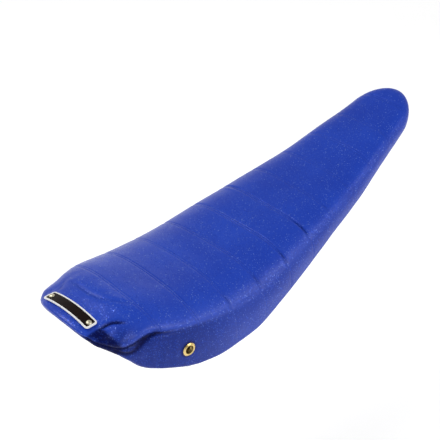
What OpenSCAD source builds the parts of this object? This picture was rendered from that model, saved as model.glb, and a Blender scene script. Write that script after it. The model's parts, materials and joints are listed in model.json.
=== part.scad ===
// Banana saddle for a bicycle: a long padded saddle with a kicked-up tail.
// Millimetres. The origin is the centre of the seat-post collar's bore,
// +X points to the nose, +Y to the rider's left and +Z up.
// Stations along the saddle are counted from the tail's rear edge.

/* [Saddle] */
// Station of the seat post, counted from the tail
post_station = 440; // [430:1:450]
// Radius of the rolled lower edge of the cover
roll_r = 6; // [5:0.5:7]
// How far the tail's crown falls at the badge's ends
tail_crown = 5; // [4:0.5:6]
// Thickness of the vinyl cover
cover_t = 1.2; // [0.8:0.1:1.5]
// Thickness of the steel pan
pan_t = 1.2; // [0.8:0.1:1.5]
// Foam and cover together beside the pan's wall
flank_t = 9; // [8:0.5:10]
// Tallest fold of the cover inside the pan
hem_max = 10; // [8:0.5:12]

/* [Trim] */
// Length of the badge plate across the tail
badge_l = 73; // [66:1:76]
// Width of the badge plate
badge_w = 16; // [13:0.5:17]
// Radius that the badge plate is bent to
badge_bend_r = 140; // [130:1:150]
// Distance of the badge from the middle plane
badge_off = 4.5; // [0:0.5:5]
// Radius of the vent eyelet's flange
eyelet_r = 8; // [7:0.5:9]
// Radius of the vent's opening
vent_r = 5.25; // [4:0.25:5.5]

/* [Rails and clamp] */
// Radius of the rail rod
rail_r = 3.5; // [3.5:0.1:4]
// Distance of each rail from the middle plane
rail_y = 22; // [20:0.5:24]
// Height of the rails
rail_z = 11; // [10:0.5:12]
// Radius of the seat-post collar's bore
post_r = 11.1; // [11.1:0.1:12.7]
// Distance of the clamp bolt behind the seat post
clamp_back = 32; // [32:0.5:36]
// Radius of the clamp bolt
bolt_r = 4; // [4:0.1:4.5]
// Radius of the serrated cheeks
cheek_r = 17; // [16.5:0.5:17.5]

/* [Strut carrier] */
// Station of the strut carrier
strut_station = 125; // [122:1:128]
// Distance of each ear from the middle plane
strut_y = 65; // [62:1:66]
// Height of the strut bolts
strut_z = -28; // [-32:1:-26]
// Radius of the strut bolt holes
strut_hole_r = 4.25; // [4.25:0.25:5.25]

/* [Hidden] */

// Half-width of the plan at stations from the tail's corner to the nose
half_width = [[9, 47.5], [25, 62.5], [50, 75], [80, 86.5], [115, 92.5], [160, 95.5], [200, 95.5],
    [250, 92], [310, 84], [430, 65.5], [490, 55], [545, 45.5], [600, 37.5]];
// Height of the crest along the middle
crest_line = [[0, 85], [25, 81], [50, 82.5], [80, 75.5], [115, 65], [150, 56], [200, 48],
    [240, 45.5], [310, 47.5], [370, 50], [430, 55], [490, 67], [545, 77], [600, 93.5]];
// Height of the lower edge of the cover
edge_line = [[0, 73.5], [25, 50.5], [50, 18], [80, 1.5], [115, -14], [150, -22], [200, -25],
    [250, -16], [310, -5], [370, 7.5], [430, 17.5], [490, 34.5], [545, 49.5], [600, 71.5]];
// Height of the pan's floor, flat under the strut plate and the rail plates
floor_line = [[0, 77], [12, 77], [60, 52], [100, 34], [150, 34], [210, 23], [280, 23],
    [300, 27], [360, 27], [466, 46], [510, 46], [560, 62], [600, 80]];
// Half of the tail's edge, from the middle plane to the corner
tail_edge = [[0, 0], [1, -18], [4, -34], [9, -47.5]];

// The spine that the rings are drawn towards, the rounded nose and the crown's reach
tail_spine = 30;
nose_spine = 556;
nose_r = 44;
tail_fade = 70;
crown_reach = 34;
crown_limit = 46;
gap = 0.25;
dome_power = 0.64;
// Inward and upward shares of the padded dome and of the pan, from the edge to the top
dome_profile = [for (a = [0, 8, 18, 30, 44, 58, 70, 80, 88])
    [pow(cos(a), dome_power), pow(sin(a), dome_power)]];
pan_profile = [[1, 0], [1, 0.75], [0.985, 0.9], [0.95, 0.97], [0.9, 1], [0.6, 1], [0.3, 1], [0.1, 1]];

// Rails, plates and their fasteners
plate_t = 3;
rail_mid = post_station - clamp_back;
rail_half = 68;
rail_bend_r = 10;
rail_plate_l = 34;
rail_plate_w = 60;
rail_plate_at = rail_half + rail_bend_r + 2;
rivet_r = 2.4;
rivet_xy = 10;
ear_w = 30;
plate_bolt_y = 34;
plate_bolt_r = 3;
pocket_h = 2.6;
// Seat clamp
collar_wall = 2.9;
collar_h = 28;
ear_r = 13;
ear_in = 1.5;
ear_out = 9;
cheek_gap = 0.3;
// Trim
eyelet_station = 98;
eyelet_z = 22;
eyelet_lip = 1.4;
badge_t = 1;
badge_rivet_in = 5.2;
badge_rivet_r = 3.3;
badge_border = 1.9;
badge_corner = 3.5;
badge_station = 17.5;
badge_lift = 1.1;
clip_l = 10;
clip_t = 0.8;

// Smooth curve through the knots [[x, value], ...], level where neighbours peak or dip
function knot(k, x) =
    let (i = [for (j = [0 : len(k) - 2]) if (x >= k[j][0]) j])
    len(i) == 0 ? 0 : i[len(i) - 1];
function secant(k, i) = (k[i + 1][1] - k[i][1]) / (k[i + 1][0] - k[i][0]);
function tangent(k, i) =
    i == 0 ? secant(k, 0) :
    i == len(k) - 1 ? secant(k, i - 1) :
    secant(k, i - 1) * secant(k, i) <= 0 ? 0 :
    2 / (1 / secant(k, i - 1) + 1 / secant(k, i));
function smooth(k, x) =
    let (i = knot(k, x), h = k[i + 1][0] - k[i][0], t = (x - k[i][0]) / h, u = 1 - t)
    u * u * (1 + 2 * t) * k[i][1] + t * t * (3 - 2 * t) * k[i + 1][1]
    + h * t * u * (u * tangent(k, i) - t * tangent(k, i + 1));

// Plan outline, tail centre to nose centre along the right side and back along the left
half_outline = concat(
    tail_edge,
    [for (s = [17, 25]) [s, -smooth(half_width, s)]],
    [for (i = [0 : 29]) let (s = 34 + 18 * i) [s, -smooth(half_width, s)]],
    [for (a = [15 : 15 : 90]) let (s = nose_spine + nose_r * sin(a)) [s, -smooth(half_width, s) * cos(a)]]);
half_n = len(half_outline) - 1;
outline = concat(half_outline, [for (j = [half_n - 1 : -1 : 1]) [half_outline[j].x, -half_outline[j].y]]);

// Fall of the tail's crown beside the middle plane, fading towards the rider
function crown(x, y) =
    tail_crown * pow(min(abs(y), crown_limit) / crown_reach, 2) * max(0, 1 - x / tail_fade);
crest = function (x, y) smooth(crest_line, x) - crown(x, y);
pan_floor = function (x, y) smooth(floor_line, x) - 0.7 * crown(x, y);
function edge(o) = smooth(edge_line, o.x) - crown(o.x, o.y) / 2;
// A point of the outline moved in by inset, then drawn towards the spine by factor g
function drawn_in(o, inset, g) =
    let (c = [min(max(o.x, tail_spine), nose_spine), 0], d = norm(o - c))
    c + (o - c) * g * (d - inset) / d;
function hem_h(o) =
    let (p = drawn_in(o, flank_t, 1)) min(hem_max, 0.4 * (pan_floor(p.x, p.y) - edge(o)));
function dome(inset, lift, top, drop, profile) = [for (q = profile) [for (o = outline)
    let (p = drawn_in(o, inset, q[0]), z0 = edge(o) + lift, z1 = top(p.x, p.y) - drop)
    [p.x, p.y, z0 + (z1 - z0) * q[1]]]];
function rim(inset, lift) = [for (o = outline)
    let (p = drawn_in(o, inset, 1)) [p.x, p.y, edge(o) + lift]];
function hem_rim(inset) = [for (o = outline)
    let (p = drawn_in(o, inset, 1)) [p.x, p.y, edge(o) + hem_h(o)]];
function backwards(v) = [for (i = [len(v) - 1 : -1 : 0]) v[i]];

// Closed solid through rings that run from the crest, round the lower edge, to the inner crest.
// From the ring turn on, the other diagonals split the faces, so that inner faces lie along outer ones.
module ring_solid(rings, turn) {
    n = len(rings[0]);
    last = (len(rings) - 1) * n;
    sides = [for (r = [0 : len(rings) - 2]) for (j = [0 : n - 1])
        let (a = r * n + j, b = r * n + (j + 1) % n) each
        r < turn ? [[a, b, b + n], [a, b + n, a + n]] : [[a, b, a + n], [b, b + n, a + n]]];
    caps = [for (j = [0 : half_n - 1])
        let (a = (n - j) % n, b = n - j - 1) each [
            if (j < half_n - 1) [a, b, j + 1],
            if (j > 0) [a, j + 1, j],
            if (j < half_n - 1) [last + j + 1, last + b, last + a],
            if (j > 0) [last + j, last + j + 1, last + a]]];
    translate([-post_station, 0, 0])
        polyhedron([for (r = rings) each r], concat(sides, caps), convexity = 10);
}

// Half-width of the cover's flank at a station and height
function flank_y(s, z) =
    let (z0 = smooth(edge_line, s) + roll_r, h = (z - z0) / (crest(s, 0) - z0))
    smooth(half_width, s) * pow(1 - pow(h, 2 / dome_power), dome_power / 2);
eyelet_y = flank_y(eyelet_station, eyelet_z);
eyelet_yaw = atan((flank_y(eyelet_station + 5, eyelet_z) - flank_y(eyelet_station - 5, eyelet_z)) / 10);
eyelet_tilt = atan((flank_y(eyelet_station, eyelet_z - 5) - flank_y(eyelet_station, eyelet_z + 5)) / 10);

// Puts a child on the flank's surface with +Z outwards; side is 1 for left and -1 for right
module on_flank(side) {
    mirror([0, side < 0 ? 1 : 0, 0])
        translate([eyelet_station - post_station, eyelet_y, eyelet_z])
            rotate([0, 0, eyelet_yaw])
                rotate([-90 + eyelet_tilt, 0, 0])
                    children();
}

// Centre of the badge's bend, with X up the slope of the tail
module at_bend() {
    translate([badge_station - post_station, 0, crest(badge_station, 0) + badge_lift])
        rotate([0, -badge_pitch, 0])
            translate([0, 0, -badge_bend_r])
                children();
}
// Puts a child at a place on the bent badge, angle degrees from the badge's middle
module on_badge(angle) {
    at_bend()
        rotate([-angle - badge_turn, 0, 0])
            translate([0, 0, badge_bend_r])
                children();
}
badge_pitch = atan((crest(badge_station + 7, 0) - crest(badge_station - 7, 0)) / 14);
badge_turn = asin(badge_off / badge_bend_r);
badge_rivet_angle = (badge_l / 2 - badge_rivet_in) / badge_bend_r * 180 / PI;
badge_reach = 12;

// Bent bar with rounded corners, between two heights over the bend's underside
module badge_bar(length, width, corner, low, high) {
    intersection() {
        badge_bend(length + 4, width + 4, low, high);
        on_badge(0)
            translate([0, 0, -badge_reach])
                rounded_bar(length, width, corner, 2 * badge_reach);
    }
}
module rounded_bar(length, width, corner, height) {
    translate([-width / 2, -length / 2 + corner, 0])
        cube([width, length - 2 * corner, height]);
    translate([-width / 2 + corner, -length / 2, 0])
        cube([width - 2 * corner, length, height]);
    for (sx = [-1, 1])
        for (sy = [-1, 1])
            translate([sx * (width / 2 - corner), sy * (length / 2 - corner), 0])
                cylinder(r = corner, h = height, $fn = 48);
}
module badge_bend(length, width, low, high) {
    half_angle = length / 2 / badge_bend_r * 180 / PI;
    at_bend()
        rotate([0, 90, 0])
            rotate([0, 0, 180 - badge_turn - half_angle])
                rotate_extrude(angle = 2 * half_angle, $fn = 720)
                    translate([badge_bend_r + low, -width / 2])
                        square([high - low, width]);
}

// Plates on the underside of the pan
module pan_plate(station, length, width) {
    z = pan_floor(station, 0) - pan_t;
    translate([station - post_station - length / 2, -width / 2, z - plate_t])
        cube([length, width, plate_t]);
}
strut_top = pan_floor(strut_station, 0) - pan_t - 0.02;
rivet_places = [for (end = [-1, 1]) for (dx = [-1, 1]) for (dy = [-1, 1])
    [rail_mid + end * rail_plate_at + dx * rivet_xy, dy * rivet_xy]];
module at_rivets() {
    for (p = rivet_places)
        translate([p.x - post_station, p.y, pan_floor(p.x, 0)])
            children();
}
module at_plate_bolts() {
    for (side = [-1, 1])
        translate([strut_station - post_station, side * plate_bolt_y, pan_floor(strut_station, 0)])
            children();
}

// ---- upholstery ----
// Rods along both vents, between two heights over the cover
module vents(radius, from, to) {
    for (side = [-1, 1])
        on_flank(side)
            translate([0, 0, from])
                cylinder(r = radius, h = to - from, $fn = 12);
}
// Rods along both badge rivets
module badge_rivet_holes(radius) {
    for (side = [-1, 1])
        on_badge(side * badge_rivet_angle)
            translate([0, 0, -8])
                cylinder(r = radius, h = 16, $fn = 12);
}
module cover() {
    hem_inset = flank_t + pan_t + 2 * gap;
    color("#2b43af")
        difference() {
            ring_solid(concat(
                backwards(dome(0, roll_r, crest, 0, dome_profile)),
                [rim(0.3 * roll_r, 0.3 * roll_r), rim(roll_r, 0)],
                [rim(hem_inset + cover_t, 0), hem_rim(hem_inset + cover_t)],
                [hem_rim(hem_inset), rim(hem_inset, cover_t)],
                [rim(roll_r, cover_t), rim(0.3 * roll_r + cover_t, 0.3 * roll_r + 0.4 * cover_t)],
                dome(cover_t, roll_r, crest, cover_t, dome_profile)), len(dome_profile) + 4);
            vents(vent_r + 1, -3, 3);
            badge_rivet_holes(1.9);
        }
}
module foam_pad() {
    skin = cover_t + gap;
    color("#d8c98a")
        difference() {
            ring_solid(concat(
                backwards(dome(skin, roll_r, crest, skin, dome_profile)),
                [rim(0.3 * roll_r + skin, 0.3 * roll_r + 0.5 * skin), rim(roll_r, skin)],
                dome(flank_t, skin, pan_floor, -gap, pan_profile)), len(dome_profile) + 2);
            vents(eyelet_r + 0.6, -5, 3);
            vents(vent_r + 0.5, -16, 3);
            badge_rivet_holes(1.9);
            for (end = [-1, 1])
                translate([rail_mid + end * rail_plate_at - post_station - 18, -18,
                    pan_floor(rail_mid + end * rail_plate_at, 0) - 1])
                    cube([36, 36, 1 + pocket_h]);
            translate([strut_station - post_station - 8, -plate_bolt_y - 8, pan_floor(strut_station, 0) - 1])
                cube([16, 2 * plate_bolt_y + 16, 1 + pocket_h]);
        }
}
module seat_pan() {
    skin = cover_t + gap;
    color("#1c1c1e")
        difference() {
            ring_solid(concat(
                backwards(dome(flank_t + gap, skin, pan_floor, 0, pan_profile)),
                dome(flank_t + gap + pan_t, skin, pan_floor, pan_t, pan_profile)), len(pan_profile));
            vents(vent_r + 0.5, -20, 3);
            at_rivets()
                translate([0, 0, -4])
                    cylinder(r = rivet_r + 0.15, h = 8, $fn = 12);
            at_plate_bolts()
                translate([0, 0, -4])
                    cylinder(r = plate_bolt_r + 0.2, h = 8, $fn = 12);
        }
}

// Spring clips that hold the cover's hem against the pan's wall
module hem_clip(station, side) {
    o = [station, smooth(half_width, station)];
    wall = flank_t + gap + pan_t + 0.35;
    fold = cover_t + 2 * gap;
    yaw = atan((smooth(half_width, station + 5) - smooth(half_width, station - 5)) / 10);
    pitch = -atan((smooth(edge_line, station + 5) - smooth(edge_line, station - 5)) / 10);
    mirror([0, side < 0 ? 1 : 0, 0])
        translate([station - post_station, o.y - wall, edge(o) + hem_h(o)])
            rotate([0, 0, yaw])
                rotate([0, pitch, 0])
                    rotate([90, 0, 90])
                        linear_extrude(clip_l, center = true)
                            polygon([[0, 0.6], [-fold, 0.6], [-fold, -4], [-fold - clip_t, -4.6],
                                [-fold - clip_t, 0.6 + clip_t], [-clip_t, 0.6 + clip_t],
                                [-clip_t, 4.6], [0, 4.6]]);
}
module hem_clips() {
    color("#a9adb3")
        for (side = [-1, 1])
            for (i = [0 : 8])
                hem_clip(88 + 46 * i, side);
}

// ---- trim ----
module vent_eyelet(side) {
    color("#c9a54a")
        on_flank(side)
            rotate_extrude()
                polygon([[vent_r, eyelet_lip], [vent_r, -3.6], [vent_r + 1.6, -3.6], [vent_r + 1.6, -2.9],
                    [vent_r + 0.7, -2.7], [vent_r + 0.7, 0.25], [eyelet_r, 0.25], [eyelet_r, 0.7],
                    [eyelet_r - 1.2, eyelet_lip + 0.3], [vent_r + 1.2, eyelet_lip + 0.4]]);
}
module eyelet_washer(side) {
    color("#b89544")
        on_flank(side)
            translate([0, 0, -2.65])
                difference() {
                    cylinder(r = vent_r + 2.6, h = 0.6, $fn = 60);
                    translate([0, 0, -1])
                        cylinder(r = vent_r + 0.8, h = 3, $fn = 60);
                }
}
module vent_eyelet_left() { vent_eyelet(1); }
module vent_eyelet_right() { vent_eyelet(-1); }
module eyelet_washer_left() { eyelet_washer(1); }
module eyelet_washer_right() { eyelet_washer(-1); }

module badge_plate() {
    color("#e6e7ea")
        difference() {
            badge_bar(badge_l, badge_w, badge_corner, 0, badge_t);
            badge_bar(badge_l - 2 * badge_border, badge_w - 2 * badge_border, badge_corner - badge_border,
                badge_t / 2, badge_t + 0.1);
            for (side = [-1, 1])
                on_badge(side * badge_rivet_angle)
                    translate([0, 0, -2])
                        cylinder(r = 1.6, h = 4, $fn = 40);
        }
}
module badge_inlay() {
    inset = badge_border + 0.1;
    color("#17120f")
        difference() {
            badge_bar(badge_l - 2 * inset, badge_w - 2 * inset, badge_corner - inset,
                badge_t / 2 + 0.02, badge_t - 0.1);
            for (side = [-1, 1])
                on_badge(side * badge_rivet_angle)
                    translate([0, 0, -2])
                        cylinder(r = badge_rivet_r + 0.1, h = 4, $fn = 40);
        }
}
module badge_rivets() {
    r = badge_rivet_r;
    color("#cdbb86")
        for (side = [-1, 1])
            on_badge(side * badge_rivet_angle)
                rotate_extrude()
                    polygon([[0, -3.6], [1.5, -3.6], [1.5, 0.6], [r, 0.6], [r - 0.1, 1.1],
                        [r - 0.7, 1.8], [r - 1.7, 2.3], [0, 2.5]]);
}

// ---- rails ----
// Rod along the saddle whose bent-up ends stand against the rail plates
module rail(side) {
    rear_top = pan_floor(rail_mid - rail_plate_at, 0) - pan_t - plate_t;
    front_top = pan_floor(rail_mid + rail_plate_at, 0) - pan_t - plate_t;
    leg = rail_half + rail_bend_r;
    corner = rail_z + rail_bend_r;
    color("#c4c7cc")
        translate([-clamp_back, side * rail_y, 0]) {
            translate([-rail_half, 0, rail_z])
                rotate([0, 90, 0])
                    cylinder(r = rail_r, h = 2 * rail_half, $fn = 48);
            for (end = [-1, 1]) {
                translate([end * rail_half, 0, rail_z + rail_bend_r])
                    rotate([90, 0, 0])
                        rotate([0, 0, end < 0 ? 180 : 270])
                            rotate_extrude(angle = 90)
                                translate([rail_bend_r, 0])
                                    circle(r = rail_r, $fn = 48);
                translate([end * leg, 0, corner])
                    cylinder(r = rail_r, h = (end < 0 ? rear_top : front_top) - corner, $fn = 48);
            }
        }
}
module rail_left() { rail(1); }
module rail_right() { rail(-1); }

module rail_plate(end) {
    station = rail_mid + end * rail_plate_at;
    color("#3a3c40")
        difference() {
            pan_plate(station, rail_plate_l, rail_plate_w);
            at_rivets()
                translate([0, 0, -8])
                    cylinder(r = rivet_r + 0.1, h = 16, $fn = 40);
            for (sx = [-1, 1])
                for (sy = [-1, 1])
                    translate([station - post_station + sx * rail_plate_l / 2, sy * rail_plate_w / 2, 0])
                        rotate([0, 0, 45])
                            cube([6, 6, 200], center = true);
        }
}
module rail_plate_front() { rail_plate(1); }
module rail_plate_rear() { rail_plate(-1); }

module rail_plate_rivets() {
    grip = pan_t + plate_t;
    color("#9a9da3")
        at_rivets()
            rotate_extrude()
                polygon([[0, 1.6], [3.2, 1.3], [4.4, 0.5], [4.4, 0.05], [rivet_r, 0.05],
                    [rivet_r, -grip - 0.05], [4.2, -grip - 0.05], [3.9, -grip - 1.1],
                    [2.4, -grip - 1.8], [0, -grip - 2]]);
}

// ---- strut carrier: a plate under the pan with an ear welded to each end ----
module strut_plate() {
    half = strut_y - plate_t - 0.1;
    color("#b8bbc0")
        difference() {
            translate([strut_station - post_station - ear_w / 2, -half, strut_top - plate_t])
                cube([ear_w, 2 * half, plate_t]);
            at_plate_bolts()
                translate([0, 0, -10])
                    cylinder(r = plate_bolt_r + 0.2, h = 20, $fn = 40);
        }
}
module strut_ear(side) {
    color("#b8bbc0")
        mirror([0, side < 0 ? 1 : 0, 0])
            translate([strut_station - post_station, 0, 0])
                difference() {
                    union() {
                        translate([-ear_w / 2, strut_y - plate_t, strut_z])
                            cube([ear_w, plate_t, strut_top - strut_z]);
                        translate([0, strut_y, strut_z])
                            rotate([90, 0, 0])
                                cylinder(r = ear_w / 2, h = plate_t, $fn = 60);
                    }
                    translate([0, strut_y - plate_t / 2, strut_z])
                        rotate([90, 0, 0])
                            cylinder(r = strut_hole_r, h = 3 * plate_t, center = true, $fn = 48);
                }
}
module strut_ear_left() { strut_ear(1); }
module strut_ear_right() { strut_ear(-1); }

module strut_plate_bolts() {
    color("#9a9da3")
        at_plate_bolts() {
            translate([0, 0, -15])
                cylinder(r = plate_bolt_r, h = 15.1, $fn = 40);
            translate([0, 0, 0.05])
                rotate_extrude()
                    polygon([[0, 0], [6, 0], [6, 0.6], [4.6, 1.6], [2.5, 2.1], [0, 2.2]]);
        }
}
module strut_plate_nuts() {
    under = -pan_t - plate_t;
    color("#9a9da3")
        at_plate_bolts()
            translate([0, 0, under - 5.05])
                difference() {
                    cylinder(r = 10 / sqrt(3), h = 5, $fn = 6);
                    translate([0, 0, -1])
                        cylinder(r = plate_bolt_r + 0.05, h = 8, $fn = 40);
                }
}

// ---- seat clamp ----
// Extrudes a profile across the saddle at the clamp bolt, between two distances to the left
module across(from, to) {
    translate([-clamp_back, to, 0])
        rotate([90, 0, 0])
            linear_extrude(to - from)
                children();
}
module post_collar() {
    outer = post_r + collar_wall;
    color("#b4b7bc")
        difference() {
            union() {
                cylinder(r = outer, h = collar_h, center = true, $fn = 90);
                for (side = [-1, 1])
                    mirror([0, side < 0 ? 1 : 0, 0]) {
                        across(ear_in, ear_out)
                            circle(r = ear_r, $fn = 72);
                        translate([-clamp_back, ear_in, -ear_r + 2])
                            cube([clamp_back - post_r, ear_out - ear_in, 2 * ear_r - 4]);
                    }
            }
            cylinder(r = post_r, h = collar_h + 2, center = true, $fn = 90);
            translate([-clamp_back - ear_r - 1, -ear_in, -collar_h])
                cube([clamp_back + ear_r, 2 * ear_in, 2 * collar_h]);
            across(-20, 20)
                circle(r = bolt_r + 0.05, $fn = 60);
            // radial teeth on the ears' outer faces
            for (side = [-1, 1])
                for (a = [0 : 30 : 330])
                    translate([-clamp_back, side * ear_out, 0])
                        rotate([0, a, 0])
                            translate([9, 0, 0])
                                cube([9, 1, 1.2], center = true);
        }
}

// Cheek between two distances from the middle plane, with half of the rail's groove
module cheek(side, from, to) {
    mirror([0, side < 0 ? 1 : 0, 0])
        difference() {
            children();
            translate([-clamp_back, rail_y, rail_z])
                rotate([0, 90, 0])
                    cylinder(r = rail_r + 0.05, h = 60, center = true, $fn = 60);
            across(from - 1, to + 1)
                circle(r = bolt_r + 0.1, $fn = 60);
        }
}
inner_from = ear_out + cheek_gap;
inner_to = rail_y - 0.3;
outer_from = rail_y + 0.3;
outer_to = rail_y + 8;
boss_to = outer_to + 1;
washer_to = boss_to + 1.6;
nut_to = washer_to + 6.5;
module inner_cheek(side) {
    color("#b4b7bc")
        cheek(side, inner_from, inner_to)
            difference() {
                union() {
                    across(inner_from + 4, inner_to)
                        circle(r = cheek_r, $fn = 90);
                    across(inner_from, inner_from + 4)
                        circle(r = ear_r, $fn = 72);
                }
                // relief slots round the rim
                for (a = [20 : 40 : 160])
                    translate([-clamp_back, (inner_from + inner_to) / 2 + 1, 0])
                        rotate([0, a, 0])
                            translate([cheek_r, 0, 0])
                                cube([3, 4, 3], center = true);
            }
}
module outer_cheek(side) {
    color("#b4b7bc")
        cheek(side, outer_from, boss_to)
            union() {
                across(outer_from, outer_to - 2)
                    circle(r = cheek_r, $fn = 90);
                across(outer_to - 2, outer_to)
                    circle(r = cheek_r - 2, $fn = 90);
                across(outer_to, boss_to)
                    circle(r = 10, $fn = 60);
            }
}
module inner_cheek_left() { inner_cheek(1); }
module inner_cheek_right() { inner_cheek(-1); }
module outer_cheek_left() { outer_cheek(1); }
module outer_cheek_right() { outer_cheek(-1); }

module clamp_bolt() {
    reach = nut_to + 3;
    color("#8f9298")
        translate([-clamp_back, 0, 0])
            rotate([90, 0, 0])
                rotate_extrude()
                    polygon([[0, -reach], [bolt_r - 0.8, -reach], [bolt_r, -reach + 0.8],
                        [bolt_r, reach - 0.8], [bolt_r - 0.8, reach], [0, reach]]);
}
module clamp_washers() {
    color("#c4c7cc")
        for (side = [-1, 1])
            mirror([0, side < 0 ? 1 : 0, 0])
                across(boss_to + 0.05, washer_to)
                    difference() {
                        circle(r = 8.5, $fn = 60);
                        circle(r = bolt_r + 0.2, $fn = 60);
                    }
}
module clamp_nuts() {
    color("#c4c7cc")
        for (side = [-1, 1])
            mirror([0, side < 0 ? 1 : 0, 0])
                across(washer_to + 0.05, nut_to)
                    difference() {
                        circle(r = 13 / sqrt(3), $fn = 6);
                        circle(r = bolt_r + 0.05, $fn = 60);
                    }
}

cover();
foam_pad();
seat_pan();
hem_clips();
vent_eyelet_left();
vent_eyelet_right();
eyelet_washer_left();
eyelet_washer_right();
badge_plate();
badge_inlay();
badge_rivets();
rail_left();
rail_right();
rail_plate_front();
rail_plate_rear();
rail_plate_rivets();
strut_plate();
strut_ear_left();
strut_ear_right();
strut_plate_bolts();
strut_plate_nuts();
post_collar();
inner_cheek_left();
inner_cheek_right();
outer_cheek_left();
outer_cheek_right();
clamp_bolt();
clamp_washers();
clamp_nuts();
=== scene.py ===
import json
import math
import bpy
import numpy as np
from mathutils import Matrix, Vector, noise


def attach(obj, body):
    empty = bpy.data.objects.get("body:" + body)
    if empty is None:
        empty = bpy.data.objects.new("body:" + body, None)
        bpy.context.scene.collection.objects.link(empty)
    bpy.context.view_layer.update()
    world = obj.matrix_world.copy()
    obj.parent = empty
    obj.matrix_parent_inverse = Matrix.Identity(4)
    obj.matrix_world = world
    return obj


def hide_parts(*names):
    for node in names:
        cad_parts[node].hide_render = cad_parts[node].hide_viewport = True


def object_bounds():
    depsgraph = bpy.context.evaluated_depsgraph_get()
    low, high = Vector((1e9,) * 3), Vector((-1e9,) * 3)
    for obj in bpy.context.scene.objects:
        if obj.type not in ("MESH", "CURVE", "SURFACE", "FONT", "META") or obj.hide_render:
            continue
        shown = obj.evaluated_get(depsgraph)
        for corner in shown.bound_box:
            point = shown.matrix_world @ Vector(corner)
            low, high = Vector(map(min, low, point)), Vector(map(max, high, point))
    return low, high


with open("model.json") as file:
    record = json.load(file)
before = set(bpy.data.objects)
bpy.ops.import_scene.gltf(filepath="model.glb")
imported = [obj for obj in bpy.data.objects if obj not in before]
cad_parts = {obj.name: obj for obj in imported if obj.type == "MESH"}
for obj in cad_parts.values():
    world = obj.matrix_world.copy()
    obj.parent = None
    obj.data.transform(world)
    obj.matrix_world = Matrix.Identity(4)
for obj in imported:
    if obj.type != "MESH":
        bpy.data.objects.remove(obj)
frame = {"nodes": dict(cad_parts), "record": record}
cad_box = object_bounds()

# ---------------------------------------------------------------- sizes
# The upholstery's surface is worked out in millimetres. Stations run along the saddle from the
# tail's rear edge, and STATION_0 is the station of the frame's origin.
MM = 0.001
STATION_0 = 440
SAME_POINT = 1e-6

# Rolled lower edge, sheet thicknesses, padding beside the pan, gap between pieces, turned-up hem
ROLL_R = 6
COVER_T = 1.2
PAN_T = 1.2
FLANK_T = 9
GAP = 0.25
HEM_MAX = 10

# How far the tail's top falls to the sides, and the spine towards which the dome is drawn in
TAIL_CROWN = 5
TAIL_FADE = 70
CROWN_REACH = 34
CROWN_LIMIT = 46
TAIL_SPINE = 30
NOSE_SPINE = 556
NOSE_R = 44
DOME_POWER = 0.64
# Usual half width and height of the dome, which set how its rings are spread
DOME_WIDE = 88
DOME_HIGH = 72

# Fineness of the meshes: point spacings around the outline, rings of the dome and of its edge
SKIN_FINE = 0.8
SKIN_COARSE = 2.4
SKIN_RINGS = 84
LINING_RINGS = 16
ROLL_RINGS = 6
ROLL_SPACING = 1.6
PAN_SPACING = 4
CORNER_END = 40
DENSE_TAIL = 105
NEAR_LINE = 5
VENT_SIDES = 40

# Outline, ridge, lower edge and pan floor along the stations
TAIL_EDGE = [(0, 0), (18, 1), (34, 4), (47.5, 9)]
HALF_WIDTH = [(9, 47.5), (25, 62.5), (50, 75), (80, 86.5), (115, 92.5), (160, 95.5), (200, 95.5),
              (250, 92), (310, 84), (430, 65.5), (490, 55), (545, 45.5), (600, 37.5)]
CREST_LINE = [(0, 85), (25, 81), (50, 82.5), (80, 75.5), (115, 65), (150, 56), (200, 48),
              (240, 45.5), (310, 47.5), (370, 50), (430, 55), (490, 67), (545, 77), (600, 93.5)]
EDGE_LINE = [(0, 73.5), (25, 50.5), (50, 18), (80, 1.5), (115, -14), (150, -22), (200, -25),
             (250, -16), (310, -5), (370, 7.5), (430, 17.5), (490, 34.5), (545, 49.5), (600, 71.5)]
FLOOR_LINE = [(0, 77), (12, 77), (60, 52), (100, 34), (150, 34), (210, 23), (280, 23),
              (300, 27), (360, 27), (466, 46), (510, 46), (560, 62), (600, 80)]

# Height of the pan's rounded shoulder, as shares of its reach and of its height
PAN_SHOULDER = ([0.9, 0.95, 0.985, 1.0], [1.0, 0.97, 0.9, 0.75])

# Quilting: double grooves across the top panel, and the seam where the side skirt meets it
LINE_FIRST = 72.7
LINE_STEP = 49.6
LINE_COUNT = 11
LINE_PAIR = 3.2
SEAM_HEIGHT = [(0, 0.1), (22, 0.2), (30, 0.36), (39, 0.52), (60, 0.68), (93, 0.69), (138, 0.69),
               (200, 0.66), (300, 0.64), (430, 0.66), (540, 0.7), (600, 0.7)]
SEAM_DEPTH = [(0, 1.5), (22, 2.8), (60, 2.8), (100, 1.7), (150, 0.8), (220, 0.35), (330, 0.2),
              (600, 0.2)]

# Depths of the grooves and strengths of the pinched pleats at their ends, line by line from the
# tail; later lines have the last value. On the left, pleats and seam are a share of the right's.
LINE_DEPTHS = (0.42, 0.5, 0.34, 0.5, 0.62, 0.55, 0.3)
PINCHES = (0.5, 0.5, 1.1, 1.3, 1.6, 2.4, 0.8, 0.5)
LONGEST_PINCH = 5
LEFT_PINCH = 0.4
LEFT_SEAM = 0.35

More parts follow.
